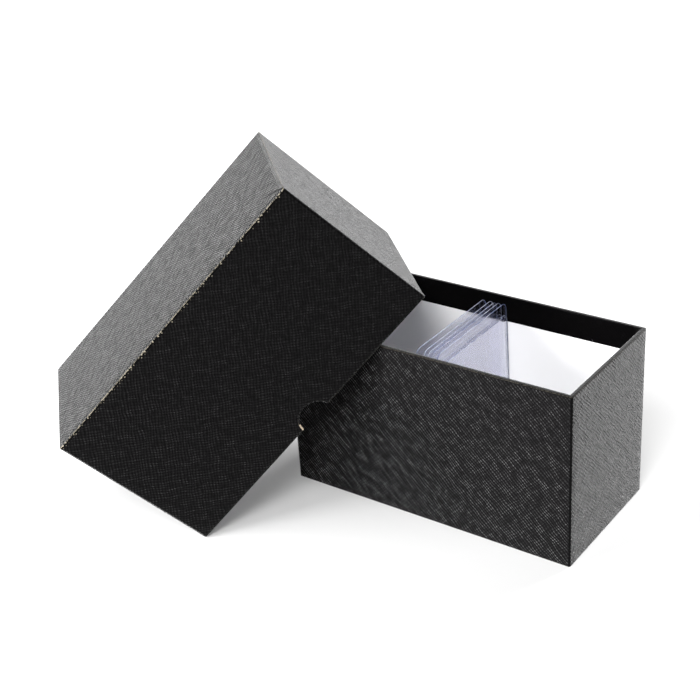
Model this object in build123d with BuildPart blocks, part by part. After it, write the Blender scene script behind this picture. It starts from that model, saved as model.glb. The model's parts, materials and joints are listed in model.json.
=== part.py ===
"""A lift-off-lid storage box for trading cards in rigid clear sleeves.

The tray and the lid are rigid set-up boxes: greyboard panels glued edge to edge, their corners
held by stay tape, one covering paper round the walls that turns over both ends, a cover sheet
on the closed panel and a white lining inside. The lid is as deep as the tray, has a half-round
thumb notch in its front rim and telescopes over the tray. It is modelled as it is put down
when it is taken off: stood on the rim of its left end, leaning on the corner between the tray's
left end and its front. Five clear sleeves stand in the tray.

Frame: millimetres, origin at the centre of the tray's underside, +X along the tray's length
to its right end, -Y out of its front, +Z up.
"""
import os
from dataclasses import dataclass
from math import cos, radians, sin

from build123d import *

os.makedirs("parts", exist_ok=True)

# ------------------------------------------------------------------ papers and board
board = 2.0  # greyboard of every panel
wrap_paper = 0.25  # embossed black covering paper
lining_paper = 0.25  # white lining paper
cover_paper = 0.2  # sheet on the outside of each closed panel
stay_tape = 0.12  # paper tape round the corners, under the covering
edge_radius = 1.2  # upright outer corners
fold_radius = 0.6  # covering folded over the panel and the rim
turn_in = 16.0  # covering turned down inside the rim
turn_over = 15.0  # covering turned onto the closed panel
cover_inset = 2.4  # cover sheet short of the panel's edges
cover_corner = 1.0  # corners of the cover sheet
tape_leg = 20.0  # tape on each side of a corner

# ------------------------------------------------------------------ clear sleeves
sleeve_width = 77.0
sleeve_height = 102.0
sleeve_sheet = 0.35  # each of a sleeve's two clear sheets
sleeve_pocket = 1.0  # room for a card between them
sleeve_weld = 3.0  # welded border down the sides and along the foot
front_drop = 7.4  # front sheet lower than the back sheet
sleeve_corner = 4.5  # rounded upper corners
sleeve_foot_corner = 2.0
sleeve_gap = 0.5  # between neighbours at the foot
foot_gap = 0.3  # under each sleeve
row_start = -1.8  # foot of the first sleeve, along the tray
sleeve_leans = (4.3, 2.75, 2.3, 2.1, 1.5)  # degrees, tops towards the tray's left end
sleeve_back_gaps = (0.8, 0.6, 1.4, 0.7, 0.5)  # from each sleeve to the tray's back wall

# ------------------------------------------------------------------ tray and lid
tray_length = 186.0
side_room = 8.0  # tray's inside width over a sleeve's
head_room = 3.3  # tray's rim over an upright sleeve
fit_clearance = 0.5  # lid to tray, each side
reveal = 6.7  # tray left showing below the closed lid
notch_radius = 10.7
notch_depth = 9.5
notch_offset = 3.3  # towards the lid's right end

# ------------------------------------------------------------------ lid as put down
lid_turn = 46.3  # degrees, the lid's length turned from the tray's
lid_lean = 44.7  # degrees, the lid's length above the floor
prop_gap = 0.35  # straight up, where its rims cross the tray's left end and front
floor_gap = 0.3  # under the edge that it stands on

# ------------------------------------------------------------------ worked out from these
band_wall = wrap_paper + board + wrap_paper  # wall through the turned-in covering
lined_wall = wrap_paper + board + lining_paper  # wall through the lining
panel_outside = cover_paper + wrap_paper
panel_inside = panel_outside + board
floor_top = panel_inside + lining_paper
tray_width = sleeve_width + side_room + 2 * lined_wall
tray_height = floor_top + sleeve_height + head_room
lid_length = tray_length + 2 * (fit_clearance + band_wall)
lid_width = tray_width + 2 * (fit_clearance + band_wall)
lid_height = tray_height + floor_top - reveal


@dataclass(frozen=True)
class Shell:
    """An open box, on a plane at its closed panel, with its rim along the plane's normal."""

    name: str
    plane: Plane
    length: float
    width: float
    height: float
    front: int  # the way its front wall faces along the plane's y

    @property
    def normal(self):
        return Axis(self.plane.origin, self.plane.z_dir)

    @property
    def board_length(self):
        return self.length - 2 * wrap_paper

    @property
    def board_width(self):
        return self.width - 2 * wrap_paper

    @property
    def inner_length(self):
        return self.board_length - 2 * board

    @property
    def inner_width(self):
        return self.board_width - 2 * board

    @property
    def wall_top(self):
        return self.height - wrap_paper


def propped_lid_plane():
    """Plane at the top of the lid, its normal towards the rim, as the lid is put down."""
    along = Vector(1, 0, 0).rotate(Axis.Y, -lid_lean).rotate(Axis.Z, lid_turn)
    across = Vector(0, 1, 0).rotate(Axis.Z, lid_turn)
    upward = Vector(0, 0, 1).rotate(Axis.Y, -lid_lean).rotate(Axis.Z, lid_turn)
    lean = radians(lid_lean)
    # the folded edge of the left end's rim just clears the floor
    rim_z = floor_gap + fold_radius + sin(lean) * (lid_length / 2 - fold_radius) - cos(lean) * fold_radius
    # the inner edge of the back rim just clears the tray's left end, that of the front rim its front
    run = along * ((tray_height + prop_gap - rim_z) / sin(lean))
    half_mouth = across * (lid_width / 2 - band_wall)
    rim_x = -tray_length / 2 - (run + half_mouth).X
    rim_y = -tray_width / 2 - (run - half_mouth).Y
    rim_centre = Vector(rim_x, rim_y, rim_z)
    return Plane(origin=rim_centre + upward * lid_height, x_dir=along, z_dir=-upward)


tray = Shell("tray", Plane.XY, tray_length, tray_width, tray_height, -1)
lid = Shell("lid", propped_lid_plane(), lid_length, lid_width, lid_height, 1)


def save(piece, name):
    """Label a finished piece and write it."""
    piece.part.label = name
    export_step(piece.part, f"parts/{name}.step")


def thumb_notch(shell):
    """The half-round cut through the middle of the front wall's rim."""
    centre = (
        shell.plane.origin
        + shell.plane.x_dir * notch_offset
        + shell.plane.z_dir * (shell.height - notch_depth + notch_radius)
        + shell.plane.y_dir * (shell.front * shell.width / 2)
    )
    with BuildPart() as cutter:
        with BuildSketch(Plane(origin=centre, x_dir=shell.plane.x_dir, z_dir=shell.plane.y_dir)):
            Circle(notch_radius)
        extrude(amount=2 * band_wall, both=True)
    return cutter.part


def panel_board(shell):
    """Greyboard of the closed panel, under the feet of the four walls."""
    with BuildPart() as piece:
        with BuildSketch(shell.plane.offset(panel_outside)):
            RectangleRounded(shell.board_length, shell.board_width, edge_radius - wrap_paper)
        extrude(amount=board)
    return piece


def long_board(shell, side, notch=None):
    """Greyboard of a long wall, the full length of the box, with its outer corners rounded."""
    with BuildPart() as piece:
        with BuildSketch(shell.plane.offset(panel_inside)) as plan:
            with Locations((0, side * (shell.board_width - board) / 2)):
                Rectangle(shell.board_length, board)
            outer = plan.vertices().group_by(Axis.Y)[-1 if side > 0 else 0]
            fillet(outer, edge_radius - wrap_paper)
        extrude(amount=shell.wall_top - panel_inside)
        if notch:
            add(notch, mode=Mode.SUBTRACT)
    return piece


def end_board(shell, side):
    """Greyboard of an end wall, between the two long walls."""
    with BuildPart() as piece:
        with BuildSketch(shell.plane.offset(panel_inside)):
            with Locations((side * (shell.board_length - board) / 2, 0)):
                Rectangle(board, shell.inner_width)
        extrude(amount=shell.wall_top - panel_inside)
    return piece


def corner_tapes(shell):
    """Stay tape round the four upright corners of the boards."""
    taped_length = shell.board_length + 2 * stay_tape
    taped_width = shell.board_width + 2 * stay_tape
    with BuildPart() as piece:
        with BuildSketch(shell.plane.offset(panel_outside)):
            RectangleRounded(taped_length, taped_width, edge_radius - wrap_paper + stay_tape)
            RectangleRounded(
                shell.board_length, shell.board_width, edge_radius - wrap_paper, mode=Mode.SUBTRACT
            )
            Rectangle(shell.board_length - 2 * tape_leg, taped_width, mode=Mode.SUBTRACT)
            Rectangle(taped_length, shell.board_width - 2 * tape_leg, mode=Mode.SUBTRACT)
        extrude(amount=shell.wall_top - panel_outside)
    return piece


def wall_wrap(shell, tapes, notch=None):
    """Covering paper round the walls, over the rim and down inside, and onto the panel."""
    with BuildPart() as piece:
        with BuildSketch(shell.plane.offset(cover_paper)):
            RectangleRounded(shell.length, shell.width, edge_radius)
        extrude(amount=shell.height - cover_paper)
        fillet(piece.edges().group_by(shell.normal)[0], fold_radius)
        with BuildSketch(shell.plane.offset(panel_outside)):
            Rectangle(shell.length - 2 * band_wall, shell.width - 2 * band_wall)
        extrude(amount=shell.height - panel_outside, mode=Mode.SUBTRACT)
        fillet(piece.edges().group_by(shell.normal)[-1], fold_radius)
        with BuildSketch(shell.plane.offset(panel_outside)):
            RectangleRounded(shell.board_length, shell.board_width, edge_radius - wrap_paper)
            Rectangle(shell.inner_length, shell.inner_width, mode=Mode.SUBTRACT)
        extrude(amount=shell.wall_top - panel_outside, mode=Mode.SUBTRACT)
        with BuildSketch(shell.plane.offset(panel_outside)):
            Rectangle(shell.inner_length, shell.inner_width)
        extrude(amount=shell.height - turn_in - panel_outside, mode=Mode.SUBTRACT)
        with BuildSketch(shell.plane.offset(cover_paper)):
            Rectangle(shell.length - 2 * turn_over, shell.width - 2 * turn_over)
        extrude(amount=wrap_paper, mode=Mode.SUBTRACT)
        add(tapes.part, mode=Mode.SUBTRACT)
        if notch:
            add(notch, mode=Mode.SUBTRACT)
    return piece


def cover_sheet(shell):
    """Sheet on the outside of the closed panel, thicker where it fills inside the turn-over."""
    with BuildPart() as piece:
        with BuildSketch(shell.plane):
            RectangleRounded(shell.length - 2 * cover_inset, shell.width - 2 * cover_inset, cover_corner)
        extrude(amount=cover_paper)
        with BuildSketch(shell.plane.offset(cover_paper)):
            Rectangle(shell.length - 2 * turn_over, shell.width - 2 * turn_over)
        extrude(amount=wrap_paper)
    return piece


def panel_lining(shell):
    """White paper on the inside of the closed panel."""
    with BuildPart() as piece:
        with BuildSketch(shell.plane.offset(panel_inside)):
            Rectangle(shell.inner_length, shell.inner_width)
        extrude(amount=lining_paper)
    return piece


def wall_lining(shell):
    """White paper round the inside of the walls, up to the turned-in covering."""
    with BuildPart() as piece:
        with BuildSketch(shell.plane.offset(floor_top)):
            Rectangle(shell.inner_length, shell.inner_width)
            Rectangle(
                shell.inner_length - 2 * lining_paper,
                shell.inner_width - 2 * lining_paper,
                mode=Mode.SUBTRACT,
            )
        extrude(amount=shell.height - turn_in - floor_top)
    return piece


def make_shell(shell, panel_name, notch=None):
    """Build and save every piece of the tray or the lid."""
    save(panel_board(shell), f"{shell.name}_{panel_name}_board")
    save(long_board(shell, shell.front, notch), f"{shell.name}_front_board")
    save(long_board(shell, -shell.front), f"{shell.name}_back_board")
    save(end_board(shell, -1), f"{shell.name}_left_end_board")
    save(end_board(shell, 1), f"{shell.name}_right_end_board")
    tapes = corner_tapes(shell)
    save(tapes, f"{shell.name}_corner_tapes")
    save(wall_wrap(shell, tapes, notch), f"{shell.name}_wall_wrap")
    save(cover_sheet(shell), f"{shell.name}_{panel_name}_sheet")
    save(panel_lining(shell), f"{shell.name}_{panel_name}_lining")
    save(wall_lining(shell), f"{shell.name}_wall_lining")


def sleeve_plane(index):
    """Plane of a sleeve's back face: x across the tray, y up the leaning sleeve."""
    lean = radians(sleeve_leans[index])
    pitch = 2 * sleeve_sheet + sleeve_pocket + sleeve_gap
    middle = tray_width / 2 - lined_wall - sleeve_back_gaps[index] - sleeve_width / 2
    foot = Vector(row_start + index * pitch, middle, floor_top + foot_gap)
    return Plane(origin=foot, x_dir=(0, 1, 0), z_dir=(cos(lean), 0, sin(lean)))


def sleeve_outline(plane, height):
    """Face of a sheet, standing on the plane's x axis, with all four corners rounded."""
    with BuildSketch(plane) as outline:
        with Locations((0, height / 2)):
            Rectangle(sleeve_width, height)
        fillet(outline.vertices().group_by(Axis.Y)[-1], sleeve_corner)
        fillet(outline.vertices().group_by(Axis.Y)[0], sleeve_foot_corner)
    return outline.sketch


def back_sheet(plane):
    """The flat sheet, which stands higher so that a card can be slid in against it."""
    with BuildPart() as piece:
        extrude(sleeve_outline(plane, sleeve_height), amount=sleeve_sheet)
    return piece


def front_sheet(plane):
    """The formed sheet: a border welded to the back sheet, and a raised pocket open at the top."""
    height = sleeve_height - front_drop
    pocket_width = sleeve_width - 2 * sleeve_weld
    pocket_height = height - sleeve_weld
    with BuildPart() as piece:
        extrude(sleeve_outline(plane.offset(sleeve_sheet), height), amount=sleeve_sheet)
        with BuildSketch(plane.offset(sleeve_sheet)):
            with Locations((0, sleeve_weld + pocket_height / 2)):
                Rectangle(pocket_width, pocket_height)
        extrude(amount=sleeve_pocket + sleeve_sheet)
        with BuildSketch(plane.offset(sleeve_sheet)):
            with Locations((0, sleeve_weld + sleeve_sheet + pocket_height / 2)):
                Rectangle(pocket_width - 2 * sleeve_sheet, pocket_height)
        extrude(amount=sleeve_pocket, mode=Mode.SUBTRACT)
    return piece


make_shell(tray, "floor")
make_shell(lid, "top", thumb_notch(lid))

for index in range(len(sleeve_leans)):
    plane = sleeve_plane(index)
    save(back_sheet(plane), f"sleeve_{index + 1}_back_sheet")
    save(front_sheet(plane), f"sleeve_{index + 1}_front_sheet")
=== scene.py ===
"""Dresses a card storage box: a paper-covered tray, its lift-off lid and five clear sleeves.

All lengths are metres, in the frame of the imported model: +X along the tray to its right end, -Y out
of its front and +Z up. Each of the two boxes also has its own axes: along its length, across it,
and inward from the outside of its closed panel to its rim.
"""
import json
import logging
from dataclasses import dataclass, field, fields, replace
from enum import Enum
from math import asin, ceil, cos, pi, radians, sin, sqrt, tau
from typing import ClassVar, Iterable, Sequence

import bmesh
import bpy
from mathutils import Euler, Matrix, Vector


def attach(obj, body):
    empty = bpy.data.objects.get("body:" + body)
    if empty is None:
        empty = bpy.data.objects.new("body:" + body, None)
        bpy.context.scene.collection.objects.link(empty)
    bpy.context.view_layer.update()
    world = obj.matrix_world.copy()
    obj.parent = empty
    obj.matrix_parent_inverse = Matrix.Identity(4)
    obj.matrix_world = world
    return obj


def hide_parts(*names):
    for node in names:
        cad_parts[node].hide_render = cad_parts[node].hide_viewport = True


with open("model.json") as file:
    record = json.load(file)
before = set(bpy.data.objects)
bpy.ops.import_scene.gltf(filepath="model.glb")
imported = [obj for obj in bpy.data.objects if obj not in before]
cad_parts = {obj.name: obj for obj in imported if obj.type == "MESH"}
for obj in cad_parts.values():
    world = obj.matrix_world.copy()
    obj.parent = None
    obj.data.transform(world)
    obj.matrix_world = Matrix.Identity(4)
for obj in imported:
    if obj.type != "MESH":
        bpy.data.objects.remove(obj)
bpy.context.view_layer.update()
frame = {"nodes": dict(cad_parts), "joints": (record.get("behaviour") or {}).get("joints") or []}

MM = 0.001
MM_IN_METRE = 1000.0
PAPER_MAP = "UVMap"
TOUCHING = 1e-7
BEYOND = 1.0
SLEEVES = 5
UP = Vector((0.0, 0.0, 1.0))
WHITE = (1.0, 1.0, 1.0, 1.0)
WHOLE = (0.0, 1.0)

Socket = bpy.types.NodeSocket
Colour = tuple[float, float, float, float]
Area = tuple[float, float, float, float]
Span = tuple[float, float]

log = logging.getLogger("card_box")


class Slot(Enum):
    """The material slots of the record."""

    GREYBOARD = "greyboard"
    COVERING = "black_leatherette_paper"
    LINING = "white_lining_paper"
    TAPE = "stay_tape"
    CLEAR = "clear_sleeve"


class Side(Enum):
    """Which way the front of a box faces along its own across axis."""

    MINUS = -1
    PLUS = 1


# ---------------------------------------------------------------------------------------- nodes
class Graph:
    """Adds nodes to one tree and joins them."""

    def __init__(self, tree: bpy.types.NodeTree) -> None:
        """Work on this tree."""
        self.tree = tree

    def feed(self, socket: Socket, value: object) -> None:
        """Join a socket to an input, or set the input's own value."""
        if isinstance(value, Socket):
            self.tree.links.new(value, socket)
        else:
            socket.default_value = value

    def node(self, kind: str, feeds: dict[str | int, object] | None = None,
             **settings: object) -> bpy.types.Node:
        """Add a node.

        Args:
            kind: The class of the node.
            feeds: A socket to join, or a value to set, for each input by its name or place.
            settings: The node's properties.

        Returns:
            The new node.
        """
        made = self.tree.nodes.new(kind)
        for key, value in settings.items():
            setattr(made, key, value)
        for key, value in (feeds or {}).items():
            self.feed(made.inputs[key], value)
        return made

    def number(self, operation: str, *terms: object) -> Socket:
        """Work out a number from up to three numbers."""
        made = self.node("ShaderNodeMath", dict(enumerate(terms)), operation=operation)
        return made.outputs["Value"]

    def times(self, first: object, second: object, more: object = 0.0) -> Socket:
        """Multiply two numbers, and add a third to what they make."""
        return self.number("MULTIPLY_ADD", first, second, more)

    def vector(self, operation: str, *terms: object) -> Socket:
        """Work out a vector from up to three vectors."""
        made = self.node("ShaderNodeVectorMath", dict(enumerate(terms)), operation=operation)
        return made.outputs["Vector"]

    def scaled(self, vector: object, factor: object) -> Socket:
        """Make a vector longer or shorter."""
        made = self.node("ShaderNodeVectorMath", {0: vector, "Scale": factor}, operation="SCALE")
        return made.outputs["Vector"]

    def parts(self, vector: object) -> bpy.types.NodeOutputs:
        """Take a vector apart into X, Y and Z."""
        return self.node("ShaderNodeSeparateXYZ", {0: vector}).outputs

    def noise(self, place: object, size: float, detail: float = 2.0) -> Socket:
        """Return noise whose lumps are about the given size, in the units of the place."""
        feeds = {"Vector": place, "Scale": 1.0 / size, "Detail": detail}
        return self.node("ShaderNodeTexNoise", feeds).outputs["Fac"]

    def fitted(self, value: object, span: Sequence[float], first: object = 0.0,
               last: object = 1.0) -> Socket:
        """Turn a span of values into first..last, held at both ends."""
        feeds = {0: value, 1: span[0], 2: span[1], 3: first, 4: last}
        return self.node("ShaderNodeMapRange", feeds, clamp=True).outputs[0]

    def bump(self, distance: float, height: object, **more: object) -> Socket:
        """Return the normal of a surface that a height raises."""
        feeds = {"Distance": distance, "Height": height, **more}
        return self.node("ShaderNodeBump", feeds).outputs["Normal"]

    def mixed(self, share: object, first: object, second: object) -> Socket:
        """Mix two shaders."""
        return self.node("ShaderNodeMixShader", {0: share, 1: first, 2: second}).outputs[0]

    def blend(self, share: object, first: object, second: object) -> Socket:
        """Mix two colours."""
        feeds = {0: share, 6: first, 7: second}
        return self.node("ShaderNodeMix", feeds, data_type="RGBA").outputs[2]

    def principled(self, **values: object) -> bpy.types.Node:
        """Add a Principled shader, its inputs named with _ for a space."""
        feeds = {name.replace("_", " "): value for name, value in values.items()}
        return self.node("ShaderNodeBsdfPrincipled", feeds)


def grey(value: float) -> Colour:
    """Return a neutral colour."""
    return (value, value, value, 1.0)


# ------------------------------------------------------------------------------------- finishes
@dataclass(frozen=True)
class Finish:
    """A material of the box, and the record's slot that it belongs to."""

    name: str
    slot: Slot

    def shader(self, graph: Graph) -> Socket:
        """Build the shader's nodes and return its output."""
        raise NotImplementedError

    def material(self) -> bpy.types.Material:
        """Return the material, made on its first use."""
        made = bpy.data.materials.get(self.name)
        if made:
            return made
        made = bpy.data.materials.new(self.name)
        made.use_nodes = True
        made.node_tree.nodes.clear()
        graph = Graph(made.node_tree)
        graph.node("ShaderNodeOutputMaterial", {"Surface": self.shader(graph)})
        return made


@dataclass(frozen=True)
class Leatherette(Finish):
    """Black covering paper, embossed with two crossing families of fine ridges."""

    # painted shade: the valleys of the embossing are coloured darker than the ridges, as shade in the
    # hollows
    valley: Colour = (0.0006, 0.0005, 0.0006, 1.0)
    ridge: Colour = (0.0048, 0.0046, 0.0048, 1.0)
    # light colour for worn paper at the panel fold, and for painted highlights and glints
    worn: Colour = (0.30, 0.27, 0.21, 1.0)
    pitch: float = 1.7
    relief: float = 0.29 * MM
    crossed: float = 0.70
    falling_share: float = 0.62
    rising_share: float = 0.36
    sway: float = 0.75
    sway_size: tuple[float, float] = (7.0, 11.0)
    stroke: tuple[float, float] = (2.6, 7.0)
    faintest: float = 0.40
    mottle: float = 0.78
    mottle_size: float = 2.6
    pressed: float = 0.15
    polished: float = 0.22
    turn_in_from: float | None = None
    corner_folds: tuple[float, ...] = ()
    corner_width: float = 0.8
    dull: float = 0.80
    shiny: float = 0.40
    shine_level: float = 0.015
    sheen: float = 0.37
    sheen_spread: float = 0.35
    slack: float = 0.10 * MM
    slack_size: float = 34.0
    # folds that take the light colour: wear with painted highlight at the panel fold, a painted highlight
    # line at the rim
    worn_and_highlit_folds: tuple[tuple[float, float], ...] = ()
    wear_and_highlight_width: float = 0.22
    # the band whose ridge knots take the light colour as painted glints; the paper is also pressed smooth
    # there
    dotted: Area | None = None
    striped: Area | None = None
    stripe_pitch: float = 1.1
    stripe_height: float = 1.6
    seam: Area | None = None
    seam_tone: float = 0.002
    slant: float = pi / 4
    family_shift: float = 70.0
    stroke_span: Span = (0.38, 0.60)
    grain: float = 0.25
    grain_size: float = 0.45
    shade_span: Span = (0.4, 1.5)
    glint_span: Span = (0.25, 0.50)
    speckle_size: float = 1.1
    speckle_span: Span = (0.44, 0.52)
    turn_in_blend: float = 0.5
    corner_core: float = 0.6
    wear_and_highlight_core: float = 0.4

    def ridges(self, graph: Graph, place: object, turn: float, shift: float) -> Socket:
        """Return the height of one family of ridges, which sway and break off into short strokes.

        Args:
            graph: The material's tree.
            place: The place on the paper, in millimetres.
            turn: The angle that the family is turned by.
            shift: Keeps the two families' chance apart.

        Returns:
            The height, from 0 in a valley to 1 on a full ridge.
        """
        moved = {"Vector": place, "Location": (shift, shift, 0.0), "Rotation": (0.0, 0.0, turn)}
        turned = graph.node("ShaderNodeMapping", moved).outputs[0]
        across = graph.parts(turned)["X"]
        stretch = (1.0 / self.sway_size[0], 1.0 / self.sway_size[1], 1.0)
        cloud = graph.noise(graph.vector("MULTIPLY", turned, stretch), 1.0, 1.0)
        sway = graph.times(graph.number("SUBTRACT", cloud, 0.5), 2 * self.sway * self.pitch)
        phase = graph.times(graph.number("ADD", across, sway), tau / self.pitch)
        wave = graph.times(graph.number("SINE", phase), 0.5, 0.5)
        stretch = (1.0 / self.stroke[0], 1.0 / self.stroke[1], 1.0)
        gaps = graph.noise(graph.vector("MULTIPLY", turned, stretch), 1.0, 1.0)
        return graph.times(wave, graph.fitted(gaps, self.stroke_span, self.faintest))

    @staticmethod
    def within(graph: Graph, parts: bpy.types.NodeOutputs, area: Area) -> Socket:
        """Return 1 inside an area of the paper and 0 outside it.

        Args:
            graph: The material's tree.
            parts: The place on the paper, in millimetres, by its parts.
            area: The area's first and last place round the walls, then over the fold, in metres.

        Returns:
            The share.
        """
        low_x, high_x, low_y, high_y = (edge * MM_IN_METRE for edge in area)
        inside: object = 1.0
        for part, low, high in (("X", low_x, high_x), ("Y", low_y, high_y)):
            inside = graph.times(inside, graph.number("GREATER_THAN", parts[part], low))
            inside = graph.times(inside, graph.number("LESS_THAN", parts[part], high))
        return inside

    @staticmethod
    def off_fold(graph: Graph, part: object, fold: float) -> Socket:
        """Return the distance from a fold in millimetres; the fold's place is in metres."""
        return graph.number("ABSOLUTE", graph.number("SUBTRACT", part, fold * MM_IN_METRE))

    def shader(self, graph: Graph) -> Socket:
        """Build the embossed paper on the piece's own map, whose units are metres."""
        paper = graph.node("ShaderNodeUVMap", uv_map=PAPER_MAP).outputs["UV"]
        place = graph.node("ShaderNodeMapping", {"Vector": paper, "Scale": (MM_IN_METRE,) * 3}).outputs[0]
        rising = self.ridges(graph, place, self.slant, 0.0)
        falling = self.ridges(graph, place, -self.slant, self.family_shift)
        grain = graph.noise(place, self.grain_size, 3.0)
        mottle = graph.noise(place, self.mottle_size)
        knots = graph.times(graph.times(rising, falling), self.crossed)
        strokes = graph.times(falling, self.falling_share, knots)
        strokes = graph.times(rising, self.rising_share, strokes)
        rough_strokes = graph.times(grain, self.grain, strokes)
        relief = graph.times(mottle, self.mottle, rough_strokes)
        parts = graph.parts(place)
        smooth: object = 0.0
        painted_glints: object = 0.0
        if self.dotted:
            smooth = self.within(graph, parts, self.dotted)
            # painted glints: the knots of the ridges in this band are picked out to take the light
            # colour, standing in for highlights
            painted_glints = graph.times(smooth, graph.fitted(knots, self.glint_span))
        if self.striped:
            slanted = graph.number("ADD", parts["X"], parts["Y"])
            stripes = graph.number("SINE", graph.times(slanted, tau / self.stripe_pitch))
            height = graph.times(self.within(graph, parts, self.striped), self.stripe_height)
            relief = graph.times(stripes, height, relief)
        if self.turn_in_from is not None:
            start = self.turn_in_from * MM_IN_METRE
            turned_in = graph.fitted(parts["Y"], (start - self.turn_in_blend, start))
            smooth = graph.number("MAXIMUM", smooth, turned_in)
        for fold in self.corner_folds:
            reach = (self.corner_width * self.corner_core, self.corner_width)
            stretched = graph.fitted(self.off_fold(graph, parts["X"], fold), reach, 1.0, 0.0)
            smooth = graph.number("MAXIMUM", smooth, stretched)
        relief = graph.times(relief, graph.fitted(smooth, WHOLE, 1.0, self.pressed))
        # painted shade: the colour runs from dark in the valleys to the paper's black on the ridges
        colour = graph.blend(graph.fitted(relief, self.shade_span), self.valley, self.ridge)
        shine = graph.fitted(relief, self.shade_span, self.dull, self.shiny)
        shine = graph.fitted(smooth, WHOLE, shine, self.polished)
        # painted glints: the band's knots are coloured light
        colour = graph.blend(painted_glints, colour, self.worn)
        speckle = graph.fitted(graph.noise(place, self.speckle_size, 3.0), self.speckle_span)
        # light speckles along the folds (the rubbed mask): wear with painted highlight at the panel fold,
        # a painted highlight line along the rim
        for fold, wear_and_highlight in self.worn_and_highlit_folds:
            reach = (self.wear_and_highlight_width * self.wear_and_highlight_core, self.wear_and_highlight_width)
            rubbed = graph.fitted(self.off_fold(graph, parts["Y"], fold), reach, wear_and_highlight, 0.0)
            colour = graph.blend(graph.times(rubbed, speckle), colour, self.worn)
        # a darker, dull line beside the lap's edge
        if self.seam:
            dark_line = self.within(graph, parts, self.seam)
            colour = graph.blend(dark_line, colour, grey(self.seam_tone))
            shine = graph.number("MAXIMUM", shine, dark_line)
        soft = graph.bump(self.slack, graph.noise(place, self.slack_size, 1.0))
        normal = graph.bump(self.relief, relief, Normal=soft)
        return graph.principled(
            Base_Color=colour,
            Roughness=shine,
            Specular_IOR_Level=self.shine_level,
            Sheen_Weight=self.sheen,
            Sheen_Roughness=self.sheen_spread,
            Normal=normal,
        ).outputs[0]


@dataclass(frozen=True)
class FibrePaper(Finish):
    """Uncoated paper or board, with soft clouds and short fibres."""

    low: Colour = (0.84, 0.84, 0.84, 1.0)
    high: Colour = (0.90, 0.90, 0.895, 1.0)
    cloud_size: float = 0.012
    fibre_size: float = 0.0006
    stretch: tuple[float, float, float] = (1.0, 1.0, 1.0)
    relief: float = 0.02 * MM
    roughness: float = 0.7
    rough_spread: float = 0.06
    rough_span: Span = (0.3, 0.7)
    fibre_share: float = 0.6
    tone_span: Span = (0.35, 0.65)

    def shader(self, graph: Graph) -> Socket:
        """Build the paper on the piece's own place."""
        place = graph.node("ShaderNodeTexCoord").outputs["Object"]
        stretched = graph.node("ShaderNodeMapping", {"Vector": place, "Scale": self.stretch}).outputs[0]
        cloud = graph.noise(place, self.cloud_size)
        fibre = graph.noise(stretched, self.fibre_size, 4.0)
        clouds = graph.times(cloud, 1.0 - self.fibre_share)
        tone = graph.fitted(graph.times(fibre, self.fibre_share, clouds), self.tone_span)
        colour = graph.blend(tone, self.low, self.high)
        spread = (self.roughness - self.rough_spread, self.roughness + self.rough_spread)
        rough = graph.fitted(fibre, self.rough_span, *spread)
        normal = graph.bump(self.relief, fibre)
        return graph.principled(Base_Color=colour, Roughness=rough, Normal=normal).outputs[0]


@dataclass(frozen=True)
class ClearSheet(Finish):
    """Rigid clear plastic with a cold tint, a little haze and a frosted weld at its border."""

    tint: Colour = (0.993, 0.993, 1.0, 1.0)
    smeared: Colour = (0.990, 0.990, 1.0, 1.0)
    shine: Colour = (0.91, 0.915, 1.0, 1.0)
    haze_colour: Colour = (0.70, 0.71, 0.84, 1.0)
    haze: float = 0.001
    weld_haze: float = 0.06
    weld: float = 3.0 * MM
    half_width: float = 38.5 * MM
    head_on: float = 0.012
    steepness: float = 2.1
    polish: float = 0.04
    smear: float = 0.14
    smear_span: Span = (0.35, 0.7)
    cloud_size: float = 0.018
    cloud_span: Span = (0.4, 0.65)
    streak_pitch: float = 0.5 * MM
    streak_depth: float = 0.3
    weld_fade: float = 0.2 * MM
    even: float = 0.5

    def shader(self, graph: Graph) -> Socket:
        """Build the sheet: light goes straight through, dimmed by tint, haze and shine."""
        paper = graph.node("ShaderNodeUVMap", uv_map=PAPER_MAP).outputs["UV"]
        cloud = graph.noise(paper, self.cloud_size)
        colour = graph.blend(graph.fitted(cloud, self.cloud_span), self.tint, self.smeared)
        through = graph.node("ShaderNodeBsdfTransparent", {"Color": colour}).outputs[0]
        scatter = graph.node("ShaderNodeBsdfTranslucent", {"Color": self.haze_colour}).outputs[0]
        glow = graph.node("ShaderNodeBsdfDiffuse", {"Color": self.haze_colour}).outputs[0]
        milky = graph.mixed(self.even, scatter, glow)
        parts = graph.parts(paper)
        from_side = graph.number("SUBTRACT", self.half_width, graph.number("ABSOLUTE", parts["X"]))
        from_rim = graph.number("MINIMUM", from_side, parts["Y"])
        streaks = graph.number("SINE", graph.times(from_rim, tau / self.streak_pitch))
        border = graph.fitted(from_rim, (self.weld, self.weld + self.weld_fade), 1.0, 0.0)
        streaked = graph.times(streaks, self.streak_depth, 1.0 - self.streak_depth)
        frosted = graph.times(border, streaked)
        haze = graph.times(frosted, self.weld_haze, self.haze)
        body = graph.mixed(haze, through, milky)
        facing = graph.node("ShaderNodeLayerWeight", {"Blend": self.even}).outputs["Facing"]
        rise = graph.number("POWER", facing, self.steepness)
        mirror = graph.times(rise, 1.0 - self.head_on, self.head_on)
        rough = graph.fitted(cloud, self.smear_span, self.polish, self.smear)
        gloss = graph.node("ShaderNodeBsdfGlossy", {"Color": self.shine, "Roughness": rough}).outputs[0]
        return graph.mixed(mirror, body, gloss)


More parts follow.
